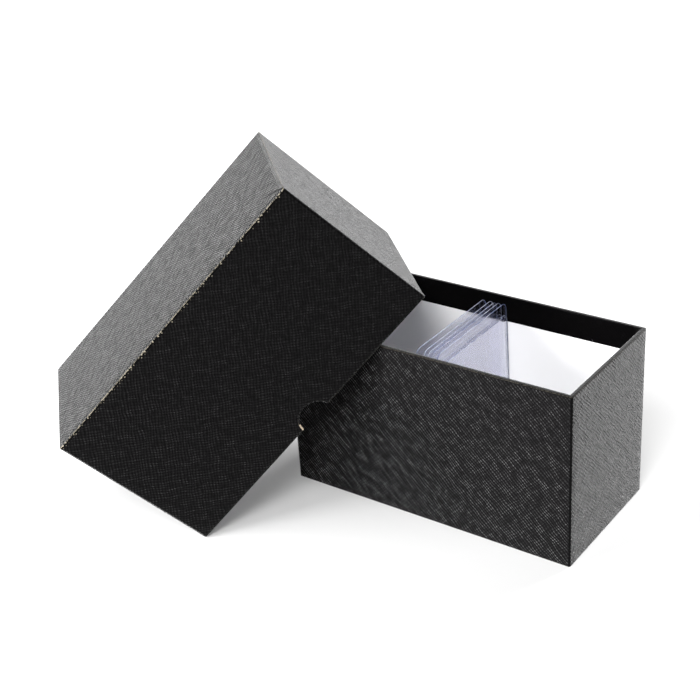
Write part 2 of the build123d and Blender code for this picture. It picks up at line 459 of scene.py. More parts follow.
@dataclass(frozen=True)
class CutEdge(Finish):
    """The polished cut edge of a clear sheet; its blue-grey colour is painted light, standing in for the
    light that the edge gathers and bends.
    """

    low: Colour = (0.13, 0.17, 0.34, 1.0)
    high: Colour = (0.48, 0.51, 0.62, 1.0)
    cloud_size: float = 0.006
    cloud_span: Span = (0.4, 0.6)
    nick_size: float = 0.0008
    nick_depth: float = 0.03 * MM
    nick_span: Span = (0.3, 0.7)
    polish: float = 0.12
    rubbed: float = 0.3
    density: float = 1.53
    shine_level: float = 0.2
    clearness: float = 0.15

    def shader(self, graph: Graph) -> Socket:
        """Build the edge, with painted highlights in places."""
        place = graph.node("ShaderNodeTexCoord").outputs["Object"]
        cloud = graph.noise(place, self.cloud_size, 3.0)
        nicks = graph.noise(place, self.nick_size)
        return graph.principled(
            # painted light: a cloud mixes a dark and a light blue-grey, as the edge's gathered light and
            # glints
            Base_Color=graph.blend(graph.fitted(cloud, self.cloud_span), self.low, self.high),
            Roughness=graph.fitted(nicks, self.nick_span, self.polish, self.rubbed),
            IOR=self.density,
            Specular_IOR_Level=self.shine_level,
            Transmission_Weight=self.clearness,
            Normal=graph.bump(self.nick_depth, nicks),
        ).outputs[0]


WRAP = Leatherette("embossed_covering_paper", Slot.COVERING)
LINING = FibrePaper("white_lining_paper", Slot.LINING)
BOARD = FibrePaper(
    "greyboard",
    Slot.GREYBOARD,
    low=(0.40, 0.32, 0.22, 1.0),
    high=(0.64, 0.55, 0.42, 1.0),
    cloud_size=0.004,
    fibre_size=0.0004,
    relief=0.06 * MM,
    roughness=0.86,
)
TAPE = FibrePaper(
    "kraft_stay_tape",
    Slot.TAPE,
    low=(0.44, 0.29, 0.17, 1.0),
    high=(0.56, 0.40, 0.25, 1.0),
    stretch=(1.0, 1.0, 0.15),
    roughness=0.62,
)
CLEAR = ClearSheet("clear_rigid_sheet", Slot.CLEAR)
CLEAR_EDGE = CutEdge("clear_sheet_edge", Slot.CLEAR)


# --------------------------------------------------------------------------------- making pieces
def in_scene(name: str, data: bpy.types.ID) -> bpy.types.Object:
    """Put a new object in the scene and return it."""
    made = bpy.data.objects.new(name, data)
    bpy.context.scene.collection.objects.link(made)
    return made


def finish_piece(name: str, mesh: bpy.types.Mesh, body: str,
                 nodes: Sequence[str]) -> bpy.types.Object:
    """Put a finished mesh in the scene, on its body, in place of the nodes that it stands for."""
    mesh.name = name
    piece = in_scene(name, mesh)
    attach(piece, body)
    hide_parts(*nodes)
    log.info("%s: %d faces on %s, for %s", name, len(mesh.polygons), body, ", ".join(nodes))
    return piece


def dress_node(node: str, finish: Finish) -> None:
    """Give a piece that stays as packed its better material."""
    piece = frame["nodes"][node]
    for place in piece.material_slots:
        place.material = finish.material()
    log.info("%s: dressed as %s", node, finish.name)


def point_outwards(mesh: bpy.types.Mesh) -> None:
    """Merge what touches and turn every face outwards."""
    work = bmesh.new()
    work.from_mesh(mesh)
    bmesh.ops.remove_doubles(work, verts=work.verts, dist=TOUCHING)
    bmesh.ops.recalc_face_normals(work, faces=work.faces)
    work.to_mesh(mesh)
    work.free()


def rounded_outline(half_length: float, half_width: float, corner: float, steps: int) -> list[Vector]:
    """Return the points of a rounded rectangle, anticlockwise."""
    points = []
    for quarter, (side_x, side_y) in enumerate(((1, 1), (-1, 1), (-1, -1), (1, -1))):
        centre = Vector((side_x * (half_length - corner), side_y * (half_width - corner), 0.0))
        for step in range(steps + 1):
            angle = pi / 2 * (quarter + step / steps)
            points.append(centre + Vector((cos(angle), sin(angle), 0.0)) * corner)
    return points


@dataclass(frozen=True)
class SectionPoint:
    """A point of folded paper, seen along its fold."""

    depth: float
    height: float
    out_depth: float
    out_height: float
    over: float
    give: float = 0.0


@dataclass
class PaperSection:
    """The line of a folded paper's outer face, followed from one of its edges to the other."""

    paper: float
    step: float
    margin: float
    bend_steps: int = 5
    points: list[SectionPoint] = field(default_factory=list)
    over: float = 0.0

    def add(self, depth: float, height: float, out_depth: float, out_height: float,
            give: float = 0.0) -> None:
        """Go on to the next point."""
        if self.points:
            last = self.points[-1]
            gone = Vector((depth - last.depth, height - last.height)).length
            if gone < TOUCHING:
                return
            self.over += gone
        self.points.append(SectionPoint(depth, height, out_depth, out_height, self.over, give))

    def run(self, start: Span, end: Span, out: Span, give: float = 0.0,
            margin: float | None = None) -> None:
        """Follow a straight stretch.

        Args:
            start: Depth and height where it starts.
            end: Depth and height where it ends.
            out: The way that the outer face looks.
            give: How much of the paper's unevenness shows here.
            margin: How far from each end the faces beside the bends reach, if not as elsewhere.
        """
        margin = self.margin if margin is None else margin
        first, last = Vector(start), Vector(end)
        length = (last - first).length
        middle = length - 2 * margin
        count = max(1, ceil(middle / self.step))
        stops = [0.0, *(margin + middle * i / count for i in range(count + 1)), length]
        for stop in stops:
            place = first.lerp(last, stop / length)
            free = give if margin < stop < length - margin else 0.0
            self.add(place.x, place.y, out[0], out[1], free)

    def bend(self, centre: tuple[float, float], radius: float, first: float, last: float) -> None:
        """Follow a fold.

        Args:
            centre: Depth and height of the fold's centre.
            radius: Radius of the outer face.
            first: Direction from the centre where the fold starts, in degrees from +depth to +height.
            last: Direction where it ends.
        """
        for step in range(self.bend_steps + 1):
            angle = radians(first + (last - first) * step / self.bend_steps)
            out = (cos(angle), sin(angle))
            self.add(centre[0] + out[0] * radius, centre[1] + out[1] * radius, out[0], out[1])

    def closed(self) -> list[SectionPoint]:
        """Return the whole outline: the outer face, and the glued face on the way back."""
        dark_line = [
            replace(
                point,
                depth=point.depth - point.out_depth * self.paper,
                height=point.height - point.out_height * self.paper,
                give=0.0,
            )
            for point in reversed(self.points)
        ]
        return self.points + dark_line


@dataclass(frozen=True)
class PathPoint:
    """A point of the path that a section is laid along."""

    place: Vector
    outward: Vector
    around: float
    lap: float = 0.0


def line_object(name: str, places: Sequence[Vector], closed: bool,
                points: Sequence[object]) -> bpy.types.Object:
    """Make an object of joined edges that carries its points' fields as named values.

    Args:
        name: The object's name.
        places: Where its points are, in order.
        closed: Whether the last point is joined to the first.
        points: The section's or the path's point for each place.

    Returns:
        The object.
    """
    mesh = bpy.data.meshes.new(name)
    edges = [(i, i + 1) for i in range(len(places) - 1)]
    if closed:
        edges.append((len(places) - 1, 0))
    mesh.from_pydata(places, edges, [])
    for mark in fields(points[0]):
        values = [getattr(point, mark.name) for point in points]
        if isinstance(values[0], Vector):
            layer = mesh.attributes.new(mark.name, "FLOAT_VECTOR", "POINT")
            layer.data.foreach_set("vector", [part for value in values for part in value])
        else:
            mesh.attributes.new(mark.name, "FLOAT", "POINT").data.foreach_set("value", values)
    return in_scene(name, mesh)


def forget(*objects: bpy.types.Object) -> None:
    """Remove helper objects and their meshes."""
    for helper in objects:
        mesh = helper.data
        bpy.data.objects.remove(helper)
        bpy.data.meshes.remove(mesh)


def baked_mesh(source: bpy.types.Object) -> bpy.types.Mesh:
    """Return the plain mesh that an object's modifiers make."""
    graph = bpy.context.evaluated_depsgraph_get()
    graph.update()
    return bpy.data.meshes.new_from_object(source.evaluated_get(graph), depsgraph=graph)


MARKS = [mark.name for point in (PathPoint, SectionPoint) for mark in fields(point)]


class PaperLayer:
    """Geometry Nodes that lay a section of folded paper along a path, mitred at the inner corners."""

    INPUTS = {
        "Section": "NodeSocketObject",
        "Half length": "NodeSocketFloat",
        "Half width": "NodeSocketFloat",
        "Corner radius": "NodeSocketFloat",
        "Lap rise": "NodeSocketFloat",
        "Unevenness": "NodeSocketFloat",
        "Unevenness size": "NodeSocketFloat",
        "Seed": "NodeSocketFloat",
        "Crease angle": "NodeSocketFloat",
        "Finish": "NodeSocketMaterial",
    }

    def __init__(self) -> None:
        """Build the tree once."""
        self.tree = bpy.data.node_groups.new("lay_paper_along_path", "GeometryNodeTree")
        self.tree.is_modifier = True
        face = self.tree.interface
        face.new_socket("Geometry", in_out="INPUT", socket_type="NodeSocketGeometry")
        self.sockets = {
            name: face.new_socket(name, in_out="INPUT", socket_type=kind).identifier
            for name, kind in self.INPUTS.items()
        }
        face.new_socket("Geometry", in_out="OUTPUT", socket_type="NodeSocketGeometry")
        self.join_nodes(Graph(self.tree))

    @staticmethod
    def mark(graph: Graph, name: str, kind: str = "FLOAT") -> Socket:
        """Read a named value of the path or the section."""
        return graph.node("GeometryNodeInputNamedAttribute", {"Name": name}, data_type=kind).outputs[0]

    def laid_place(self, graph: Graph, given: bpy.types.NodeOutputs) -> Socket:
        """Return each point's place: set in from the path, and no further than the inner corner."""
        lift = graph.times(self.mark(graph, "lap"), given["Lap rise"])
        raised = graph.node("ShaderNodeCombineXYZ", {"Z": self.mark(graph, "height")}).outputs[0]
        at = {
            "Vector": graph.vector("ADD", self.mark(graph, "place", "FLOAT_VECTOR"), raised),
            "W": given["Seed"],
            "Scale": graph.number("DIVIDE", 1.0, given["Unevenness size"]),
        }
        cloud = graph.node("ShaderNodeTexNoise", at, noise_dimensions="4D").outputs[0]
        sunk = graph.times(cloud, given["Unevenness"])
        depth = graph.times(self.mark(graph, "out_depth"), lift, self.mark(graph, "depth"))
        depth = graph.times(sunk, self.mark(graph, "give"), depth)
        height = self.mark(graph, "height")
        height = graph.times(self.mark(graph, "out_height"), lift, height)
        step = graph.number("MINIMUM", depth, given["Corner radius"])
        inset = graph.scaled(self.mark(graph, "outward", "FLOAT_VECTOR"), step)
        stepped = graph.vector("SUBTRACT", self.mark(graph, "place", "FLOAT_VECTOR"), inset)
        limit = graph.node(
            "ShaderNodeCombineXYZ",
            {
                "X": graph.number("SUBTRACT", given["Half length"], depth),
                "Y": graph.number("SUBTRACT", given["Half width"], depth),
            },
        ).outputs[0]
        held = graph.vector("MAXIMUM", graph.vector("MINIMUM", stepped, limit), graph.scaled(limit, -1.0))
        return graph.vector("ADD", held, graph.node("ShaderNodeCombineXYZ", {"Z": height}).outputs[0])

    def join_nodes(self, graph: Graph) -> None:
        """Join the tree: sweep, place, map, crease, finish."""
        given = graph.node("NodeGroupInput").outputs
        path = graph.node("GeometryNodeMeshToCurve", {"Mesh": given["Geometry"]}).outputs[0]
        shape = graph.node("GeometryNodeObjectInfo", {"Object": given["Section"]}).outputs["Geometry"]
        section = graph.node("GeometryNodeMeshToCurve", {"Mesh": shape}).outputs[0]
        swept = graph.node(
            "GeometryNodeCurveToMesh", {"Curve": path, "Profile Curve": section, "Fill Caps": True}
        ).outputs[0]
        feeds = {"X": self.mark(graph, "around"), "Y": self.mark(graph, "over")}
        spread = graph.node("ShaderNodeCombineXYZ", feeds).outputs[0]
        store = graph.node("GeometryNodeStoreNamedAttribute", data_type="FLOAT2", domain="CORNER")
        for name, value in (("Geometry", swept), ("Name", PAPER_MAP), ("Value", spread)):
            graph.feed(store.inputs[name], value)
        placed = graph.node(
            "GeometryNodeSetPosition",
            {"Geometry": store.outputs[0], "Position": self.laid_place(graph, given)},
        ).outputs[0]
        smooth = graph.node("GeometryNodeSetShadeSmooth", {"Geometry": placed}, domain="FACE").outputs[0]
        angle = graph.node("GeometryNodeInputMeshEdgeAngle").outputs["Unsigned Angle"]
        sharp = graph.number("GREATER_THAN", angle, given["Crease angle"])
        creased = graph.node(
            "GeometryNodeSetShadeSmooth",
            {"Geometry": smooth, "Selection": sharp, "Shade Smooth": False},
            domain="EDGE",
        ).outputs[0]
        real = graph.node("GeometryNodeRealizeInstances", {"Geometry": creased}).outputs[0]
        dressed = graph.node("GeometryNodeSetMaterial", {"Geometry": real, "Material": given["Finish"]})
        graph.node("NodeGroupOutput", {"Geometry": dressed.outputs[0]})

    def lay(self, path: Sequence[PathPoint], section: Sequence[SectionPoint], finish: Finish,
            **sizes: float) -> bpy.types.Mesh:
        """Lay a section along a path.

        Args:
            path: The path, open, on the box's outer face.
            section: The closed outline of the folded paper.
            finish: The finish of the whole piece.
            sizes: The tree's other inputs, with _ for a space.

        Returns:
            A plain mesh, in the path's own axes.
        """
        folds = [Vector((point.depth, point.height, 0.0)) for point in section]
        outline = line_object("section_line", folds, True, section)
        rail = line_object("path_line", [point.place for point in path], False, path)
        layer = rail.modifiers.new("lay_paper", "NODES")
        layer.node_group = self.tree
        layer[self.sockets["Section"]] = outline
        layer[self.sockets["Finish"]] = finish.material()
        for name, value in sizes.items():
            layer[self.sockets[name.replace("_", " ")]] = float(value)
        mesh = baked_mesh(rail)
        rail.modifiers.remove(layer)
        forget(rail, outline)
        for name in MARKS:
            if name in mesh.attributes:
                mesh.attributes.remove(mesh.attributes[name])
        point_outwards(mesh)
        return mesh


# ------------------------------------------------------------------------------------ the boxes
@dataclass(frozen=True)
class BoxPlace:
    """Where a box stands: the middle of its closed panel's outside, its axes and its size."""

    middle: Vector
    along: Vector
    across: Vector
    inward: Vector
    length: float
    width: float
    height: float

    @classmethod
    def of_nodes(cls, along: Vector, across: Vector, inward: Vector, nodes: Sequence[str]) -> "BoxPlace":
        """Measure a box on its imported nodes.

        Args:
            along: The way of its length.
            across: The way of its width.
            inward: The way from its closed panel to its rim.
            nodes: The nodes that reach its outer faces.

        Returns:
            The box's place.
        """
        corners = [vertex.co for node in nodes for vertex in frame["nodes"][node].data.vertices]
        spans = []
        for axis in (along, across, inward):
            reach = [corner.dot(axis) for corner in corners]
            spans.append((min(reach), max(reach)))
        (low_x, high_x), (low_y, high_y), (low_z, high_z) = spans
        middle = along * (low_x + high_x) / 2 + across * (low_y + high_y) / 2 + inward * low_z
        return cls(middle, along, across, inward, high_x - low_x, high_y - low_y, high_z - low_z)

    @property
    def matrix(self) -> Matrix:
        """Return what turns the box's own axes into the frame."""
        turn = Matrix((self.along, self.across, self.inward)).transposed().to_4x4()
        return Matrix.Translation(self.middle) @ turn


@dataclass
class SetUpBox:
    """A rigid box of greyboard panels, wrapped in one covering paper and lined in white."""

    name: str
    panel: str
    place: BoxPlace
    layer: PaperLayer
    front: Side
    seam: tuple[int, int]
    paper: float = 0.25 * MM
    board: float = 2.0 * MM
    corner: float = 1.2 * MM
    fold: float = 0.6 * MM
    cover: float = 0.2 * MM
    turn_in: float = 16.0 * MM
    turn_over: float = 15.0 * MM
    cover_inset: float = 2.4 * MM
    cover_corner: float = 1.0 * MM
    pressed_band: float = 1.6 * MM
    # how far past the rim fold its painted highlight line runs
    rim_highlight_offset: float = 0.3 * MM
    lap: float = 2.2 * MM
    lap_rise: float = 0.2 * MM
    # width of the darker, dull line beside the lap's edge
    dark_line_width: float = 1.4 * MM
    unevenness: float = 0.1 * MM
    unevenness_size: float = 35.0 * MM
    corner_steps: int = 6
    longest_face: float = 6.0 * MM
    fold_margin: float = 0.35 * MM
    crease: float = radians(50)
    seed: float = 1.0
    press_share: float = 0.4
    press_round: float = 0.3
    sheet_sink: float = 0.1
    sheet_overlap: float = 0.1 * MM
    # how strongly each fold takes the light colour: wear with painted highlight at the panel fold,
    # painted highlight at the rim
    fold_wear_and_highlight: float = 0.8
    rim_painted_highlight: float = 0.12
    OUTWARD: ClassVar = (Vector((1, 0, 0)), Vector((0, -1, 0)), Vector((-1, 0, 0)), Vector((0, 1, 0)))

    @property
    def wall(self) -> float:
        """Return the thickness of a wall through the turned-in covering."""
        return self.board + 2 * self.paper

    def path(self) -> list[PathPoint]:
        """Return the path of the covering: once round the walls, and a lap over its own start."""
        corner = self.corner
        reaches = (self.place.length / 2, self.place.width / 2)
        stops: list[tuple[Vector, Vector, float]] = []

        def straight(start: Vector, end: Vector, outward: Vector, lap: float) -> None:
            """Go on along a flat wall."""
            count = max(1, ceil((end - start).length / self.longest_face))
            for step in range(count + 1):
                stops.append((start.lerp(end, step / count), outward, lap))

        for side, outward in enumerate(self.OUTWARD):
            ahead = self.OUTWARD[(side + 1) % len(self.OUTWARD)]
            reach, flat = reaches[side % 2], reaches[(side + 1) % 2] - corner
            straight(outward * reach - ahead * flat, outward * reach + ahead * flat, outward, 0.0)
            centre = outward * (reach - corner) + ahead * flat
            lap = 1.0 if ahead == self.OUTWARD[0] else 0.0
            for step in range(self.corner_steps + 1):
                share = step / self.corner_steps
                angle = -pi / 2 * (side + share)
                away = Vector((cos(angle), sin(angle), 0.0))
                stops.append((centre + away * corner, away, lap * share))
        start = stops[0][0]
        straight(start, start + self.OUTWARD[1] * self.lap, self.OUTWARD[0], 1.0)
        mirrored = Vector((self.seam[0], self.seam[1], 1))
        path: list[PathPoint] = []
        around = 0.0
        for place, outward, lap in stops:
            here = place * mirrored
            if path:
                gone = (here - path[-1].place).length
                if gone < TOUCHING:
                    continue
                around += gone
            path.append(PathPoint(here, outward * mirrored, around, lap))
        return path

    def section(self) -> PaperSection:
        """Return the covering's section: over the panel's edge, up the wall, over the rim and in."""
        fold, wall, cover, rim = self.fold, self.wall, self.cover, self.place.height
        line = PaperSection(self.paper, self.longest_face, self.fold_margin)
        line.run((self.turn_over, cover), (fold, cover), (0, -1))
        line.bend((fold, cover + fold), fold, -90, -180)
        line.run((0, cover + fold), (0, rim - fold), (-1, 0), give=1.0)
        line.bend((fold, rim - fold), fold, 180, 90)
        line.run((fold, rim), (wall - fold, rim), (0, 1))
        line.bend((wall - fold, rim - fold), fold, 90, 0)
        line.run((wall, rim - fold), (wall, rim - self.turn_in), (1, 0))
        return line

    def covering_finish(self) -> Leatherette:
        """Return the paper's finish: coloured light at its folds, as wear with painted highlight at the
        panel fold and a painted highlight line at the rim, with painted glints in a band, banded beside
        the panel, and dark and dull beside the seam.
        """
        fold_run, corner_run = self.fold * pi / 2, self.corner * pi / 2
        panel_fold = self.turn_over - self.fold + fold_run / 2
        rim_fold = self.turn_over - self.fold + fold_run + self.place.height - self.cover - 2 * self.fold
        flat_length = self.place.length - 2 * self.corner
        flat_width = self.place.width - 2 * self.corner
        corner_folds = []
        around = -corner_run / 2
        for flat in (flat_width, flat_length, flat_width, flat_length):
            around += flat + corner_run
            corner_folds.append(around)
        return replace(
            WRAP,
            name=f"{self.name}_embossed_covering_paper",
            dotted=(corner_folds[2], corner_folds[3], panel_fold, panel_fold + self.pressed_band),
            striped=(0.0, corner_folds[0], panel_fold - self.cover_inset, panel_fold),
            worn_and_highlit_folds=((panel_fold, self.fold_wear_and_highlight), (rim_fold + self.rim_highlight_offset, self.rim_painted_highlight)),
            turn_in_from=rim_fold,
            corner_folds=tuple(corner_folds),
            seam=(self.lap, self.lap + self.dark_line_width, -BEYOND, BEYOND),
        )

    def wrap_mesh(self) -> bpy.types.Mesh:
        """Lay the covering round the walls, in the box's own axes."""
        return self.layer.lay(
            self.path(),
            self.section().closed(),
            self.covering_finish(),
            Half_length=self.place.length / 2,
            Half_width=self.place.width / 2,
            Corner_radius=self.corner,
            Lap_rise=self.lap_rise,
            Unevenness=self.unevenness,
            Unevenness_size=self.unevenness_size,
            Seed=self.seed,
            Crease_angle=self.crease,
        )

    def sheet_mesh(self) -> bpy.types.Mesh:
        """Build the cover sheet of the closed panel, pressed round at its edges."""
        inset, corner, press = self.cover_inset, self.cover_corner, self.press_share * self.cover
        filled = self.turn_over - self.sheet_overlap
        part, sunk = self.press_round * press, self.cover - self.sheet_sink * press
        rings = (
            (inset + press, corner - press, 0.0),
            (inset + part, corner - part, part),
            (inset, corner, press),
            (inset, corner, sunk),
            (filled, corner, sunk),
            (filled, corner, self.cover + self.paper),
        )
        work = bmesh.new()
        spread = work.loops.layers.uv.new(PAPER_MAP)
        rows = []
        for edge, radius, height in rings:
            outline = rounded_outline(
                self.place.length / 2 - edge, self.place.width / 2 - edge, radius, self.corner_steps
            )
            rows.append([work.verts.new(point + UP * height) for point in outline])
        for outer, inner in zip(rows, rows[1:]):
            for i, vertex in enumerate(outer):
                j = (i + 1) % len(outer)
                work.faces.new((vertex, inner[i], inner[j], outer[j]))
        work.faces.new(rows[0])
        work.faces.new(list(reversed(rows[-1])))
        for face in work.faces:
            for loop in face.loops:
                loop[spread].uv = loop.vert.co.xy
        mesh = bpy.data.meshes.new(f"{self.name}_{self.panel}_sheet_mesh")
        work.to_mesh(mesh)
        work.free()
        mesh.materials.append(WRAP.material())
        point_outwards(mesh)
        return mesh

    def cut(self, mesh: bpy.types.Mesh) -> bpy.types.Mesh:
        """Return the covering with its cut-outs, if the box has any."""
        return mesh

    def build(self) -> None:
        """Make the pieces that show and dress the rest."""
        wrap = self.cut(self.wrap_mesh())
        wrap.transform(self.place.matrix)
        point_outwards(wrap)
        node = f"{self.name}_wall_wrap"
        finish_piece(f"{self.name}_covering", wrap, self.name, [node])
        sheet = self.sheet_mesh()
        sheet.transform(self.place.matrix)
        node = f"{self.name}_{self.panel}_sheet"
        finish_piece(f"{self.name}_{self.panel}_cover_sheet", sheet, self.name, [node])
        for part in (self.panel, "front", "back", "left_end", "right_end"):
            dress_node(f"{self.name}_{part}_board", BOARD)
        dress_node(f"{self.name}_corner_tapes", TAPE)
        dress_node(f"{self.name}_{self.panel}_lining", LINING)
        dress_node(f"{self.name}_wall_lining", LINING)


@dataclass
class Lid(SetUpBox):
    """The lid, with a half-round thumb notch in the rim of its front."""

    notch_radius: float = 10.7 * MM
    notch_depth: float = 9.5 * MM
    notch_offset: float = 3.3 * MM
    notch_wing: float = 0.9 * MM
    bare: float = radians(24)
    cutter_sides: int = 96
    cutter_walls: float = 6.0
    cut_share: float = 0.8
    notch_steps: int = 48
    notch_margin: float = 0.0875 * MM

    @property
    def notch_centre(self) -> Vector:
        """Return the notch's centre, on the front's outer face, in the box's own axes."""
        height = self.place.height - self.notch_depth + self.notch_radius
        return Vector((self.notch_offset, self.front.value * self.place.width / 2, height))

    def cut(self, mesh: bpy.types.Mesh) -> bpy.types.Mesh:
        """Cut the notch through the covering of the front, back to its turned wings."""
        radius = self.notch_radius + self.notch_wing * self.cut_share
        work = bmesh.new()
        turn = Matrix.Translation(self.notch_centre) @ Euler((pi / 2, 0, 0)).to_matrix().to_4x4()
        bmesh.ops.create_cone(
            work, cap_ends=True, segments=self.cutter_sides, radius1=radius, radius2=radius,
            depth=self.cutter_walls * self.wall, matrix=turn,
        )
        tool = bpy.data.meshes.new("notch_cutter")
        work.to_mesh(tool)
        work.free()
        cutter, whole = in_scene("notch_cutter", tool), in_scene("whole_covering", mesh)
        notch = whole.modifiers.new("notch", "BOOLEAN")
        notch.operation, notch.solver, notch.object = "DIFFERENCE", "EXACT", cutter
        made = baked_mesh(whole)
        forget(cutter, whole)
        return made

    def notch_fold_mesh(self) -> bpy.types.Mesh:
        """Lay the strip of covering that is folded round the notch, in the front's own plane."""
        radius = self.notch_radius - self.paper
        drop = self.notch_radius - self.notch_depth
        first = asin(drop / radius)
        path = []
        for step in range(self.notch_steps + 1):
            angle = -first - (pi - 2 * first - self.bare) * step / self.notch_steps
            outward = -Vector((cos(angle), sin(angle), 0.0))
            path.append(PathPoint(-outward * radius, outward, radius * abs(angle)))
        fold, wall, wing = self.fold, self.wall, self.notch_wing
        line = PaperSection(self.paper, self.longest_face, self.fold_margin)
        line.run((wing, 0), (fold, 0), (0, -1), margin=self.notch_margin)
        line.bend((fold, fold), fold, -90, -180)
        line.run((0, fold), (0, wall - fold), (-1, 0))
        line.bend((fold, wall - fold), fold, 180, 90)
        line.run((fold, wall), (wing, wall), (0, 1), margin=self.notch_margin)
        mesh = self.layer.lay(
            path,
            line.closed(),
            WRAP,
            Half_length=1.0,
            Half_width=1.0,
            Corner_radius=1.0,
            Lap_rise=0.0,
            Unevenness=0.0,
            Unevenness_size=self.unevenness_size,
            Seed=self.seed,
            Crease_angle=self.crease,
        )
        across = Vector((0, -self.front.value, 0))
        turn = Matrix((Vector((1, 0, 0)), Vector((0, 0, 1)), across)).transposed().to_4x4()
        mesh.transform(Matrix.Translation(self.notch_centre) @ turn)
        return mesh

    def build(self) -> None:
        """Make the lid, and the folded strip of its notch."""
        super().build()
        strip = self.notch_fold_mesh()
        strip.transform(self.place.matrix)
        point_outwards(strip)
        finish_piece("lid_notch_fold", strip, self.name, ["lid_wall_wrap"])


# ------------------------------------------------------------------------------------- sleeves
@dataclass
class Sleeve:
    """A rigid clear sleeve: a flat back sheet, and a formed front sheet welded to it."""

    number: int
    sheet: float = 0.35 * MM
    pocket: float = 1.0 * MM
    weld: float = 3.0 * MM
    corner: float = 4.5 * MM
    foot_corner: float = 2.0 * MM
    ramp: float = 0.9 * MM
    lip: float = 0.3 * MM
    bulge: float = 0.05 * MM
    corner_rows: int = 7
    ramp_rows: int = 4
    middle_columns: int = 8
    middle_rows: int = 10

    @property
    def body(self) -> str:
        """Return the name of the sleeve's body."""
        return f"sleeve_{self.number}"

    def place_of(self, node: str) -> BoxPlace:
        """Measure one of its sheets: along it is across the tray, across it is up the sleeve."""
        upward = next(Vector(joint["axis"]) for joint in frame["joints"] if joint["child"] == self.body)
        upward.normalize()
        sideways = Vector((0.0, 1.0, 0.0))
        return BoxPlace.of_nodes(sideways, upward, sideways.cross(upward), [node])

    def half_width_at(self, up: float, width: float, height: float) -> float:
        """Return half the sheet's width at a height, within its rounded corners."""
        if up > height - self.corner:
            radius, off = self.corner, up - (height - self.corner)
        elif up < self.foot_corner:
            radius, off = self.foot_corner, self.foot_corner - up
        else:
            return width / 2
        return width / 2 - radius + sqrt(max(0.0, radius * radius - off * off))

    def rows(self, height: float) -> list[float]:
        """Return the heights of the sheet's rows of points, close together where it bends."""
        turns = [i / self.corner_rows for i in range(self.corner_rows + 1)]
        foot = [self.foot_corner * (1 - cos(pi / 2 * turn)) for turn in turns]
        ramp = [self.weld + self.ramp * i / self.ramp_rows for i in range(self.ramp_rows + 1)]
        low, high = self.weld + self.ramp, height - self.corner
        middle = [low + (high - low) * i / self.middle_rows for i in range(1, self.middle_rows)]
        top = [high + self.corner * sin(pi / 2 * turn) for turn in turns]
        return sorted({self.lip, height - self.lip, *foot, *ramp, *middle, *top})

    def columns(self, half_width: float) -> list[float]:
        """Return the distances from the middle of the columns of points, for one side."""
        inner = half_width - self.weld - self.ramp
        even = [inner * i / self.middle_columns for i in range(self.middle_columns)]
        ramp = [inner + self.ramp * i / self.ramp_rows for i in range(self.ramp_rows + 1)]
        return [*even, *ramp, half_width - self.lip, half_width]

    def raised(self, from_side: float, from_foot: float) -> float:
        """Return how far the pocket stands off the weld, 0 to 1."""
        shares = []
        for off in (from_side, from_foot):
            share = min(1.0, max(0.0, (off - self.weld) / self.ramp))
            shares.append(share * share * (3 - 2 * share))
        return shares[0] * shares[1]

    def sheet_mesh(self, name: str, width: float, height: float, pocket: float) -> bpy.types.Mesh:
        """Build a closed sheet with rounded corners, and a raised pocket open at its head.

        Args:
            name: The mesh's name.
            width: The sheet's width.
            height: The sheet's height.
            pocket: How far the pocket is raised; 0 for a flat sheet.

        Returns:
            The mesh, standing on its foot's middle, its thickness along +Z.
        """
        work = bmesh.new()
        spread = work.loops.layers.uv.new(PAPER_MAP)
        faces: dict[float, list[list[bmesh.types.BMVert]]] = {0.0: [], self.sheet: []}
        one_side = self.columns(width / 2)
        offs = [-off for off in reversed(one_side[1:])] + one_side
        for up in self.rows(height):
            reach = self.half_width_at(up, width, height)
            for lift, grid in faces.items():
                row = []
                for off in offs:
                    share = min(abs(off), reach - (width / 2 - abs(off)) * reach / (width / 2))
                    from_side = width / 2 - abs(off)
                    raise_by = pocket * self.raised(from_side, up)
                    place = (share if off > 0 else -share, up, lift + raise_by)
                    row.append(work.verts.new(place))
                grid.append(row)
        for lift, grid in faces.items():
            for below, above in zip(grid, grid[1:]):
                for i in range(len(offs) - 1):
                    corners = (below[i], below[i + 1], above[i + 1], above[i])
                    face = work.faces.new(corners)
                    lipped = i == 0 or i == len(offs) - 2 or above is grid[-1] or below is grid[0]
                    face.material_index = 1 if lipped else 0
        back, front = (self.rim_of(grid) for grid in faces.values())
        swollen = []
        centre = Vector((0.0, height / 2, 0.0))
        for low, high in zip(back, front):
            middle = (low.co + high.co) / 2
            away = (middle - centre).xy.normalized() * self.bulge
            swollen.append(work.verts.new(middle + away.to_3d()))
        for first, second in ((back, swollen), (swollen, front)):
            for i, vertex in enumerate(first):
                j = (i + 1) % len(first)
                face = work.faces.new((vertex, first[j], second[j], second[i]))
                face.material_index = 1
        for face in work.faces:
            face.smooth = True
            for loop in face.loops:
                loop[spread].uv = loop.vert.co.xy
        mesh = bpy.data.meshes.new(name)
        work.to_mesh(mesh)
        work.free()
        for finish in (CLEAR, CLEAR_EDGE):
            mesh.materials.append(finish.material())
        point_outwards(mesh)
        return mesh

    @staticmethod
    def rim_of(grid: list[list[bmesh.types.BMVert]]) -> list[bmesh.types.BMVert]:
        """Return the points round a grid, in order."""
        up_right = [row[-1] for row in grid[1:]]
        back_left = list(reversed(grid[-1][:-1]))
        down_left = [row[0] for row in reversed(grid[:-1])]
        return grid[0] + up_right + back_left + down_left[:-1]

